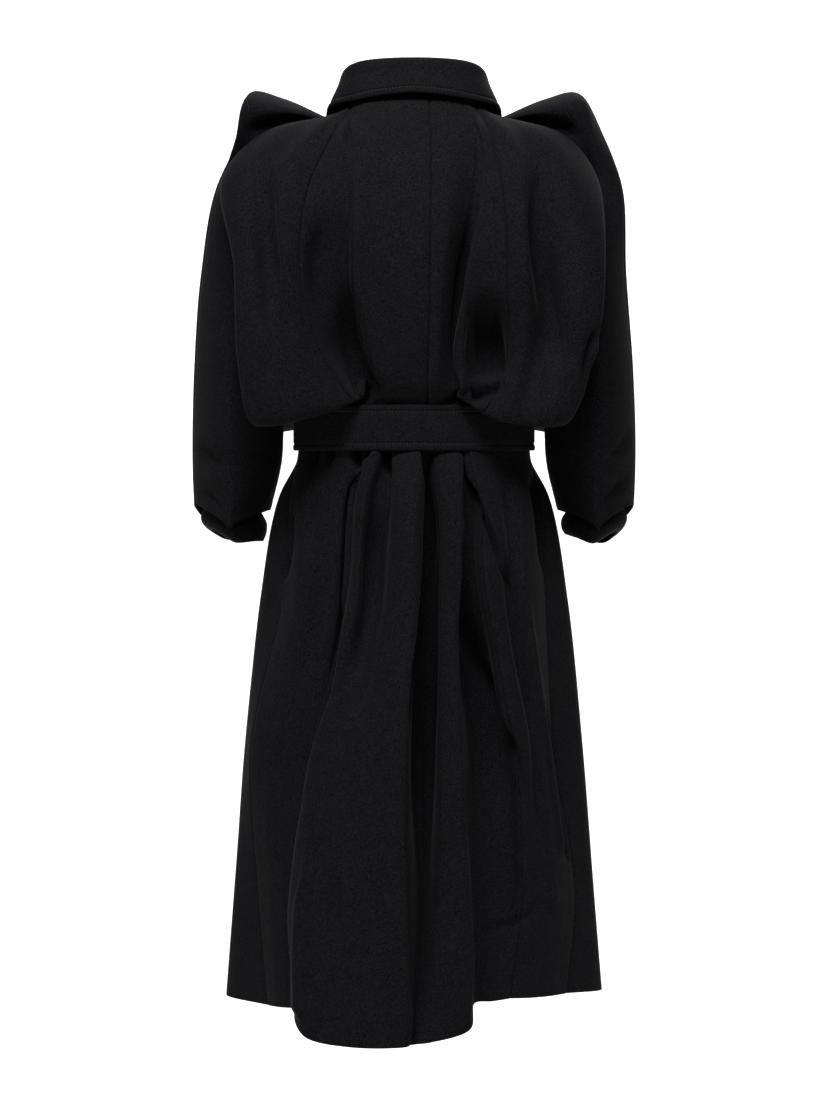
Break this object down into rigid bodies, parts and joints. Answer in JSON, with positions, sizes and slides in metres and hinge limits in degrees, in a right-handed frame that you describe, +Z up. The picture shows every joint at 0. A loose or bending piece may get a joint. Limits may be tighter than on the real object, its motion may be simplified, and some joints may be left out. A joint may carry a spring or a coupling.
{
  "type": "belted wool coat",
  "caption": "Black wool coat in its worn form: turned-down collar, peaked shoulders, draped back blousing over a self belt, turned cuffs and a skirt in deep loose folds.",
  "frame": {"origin": "midway between the two points where the shoulders meet the neck, where the wearer's shoulders hold the coat", "axes": "+Z up the wearer's spine, -Y toward the pictured back, +Y to the wearer's front, +X to the wearer's right"},
  "size_m": [0.5434, 0.3893, 1.1503],
  "materials": {
    "wool": "matt black milled wool cloth with a fine weave"
  },
  "bodies": {
    "root": {"back_left": "wool", "back_right": "wool", "side_back_left": "wool", "side_back_right": "wool", "front_left": "wool", "front_right": "wool", "sleeve_back_left": "wool", "sleeve_front_left": "wool", "sleeve_back_right": "wool", "sleeve_front_right": "wool", "cuff_left": "wool", "cuff_right": "wool", "collar_stand": "wool", "collar_fall": "wool", "belt": "wool"}
  },
  "joints": []
}
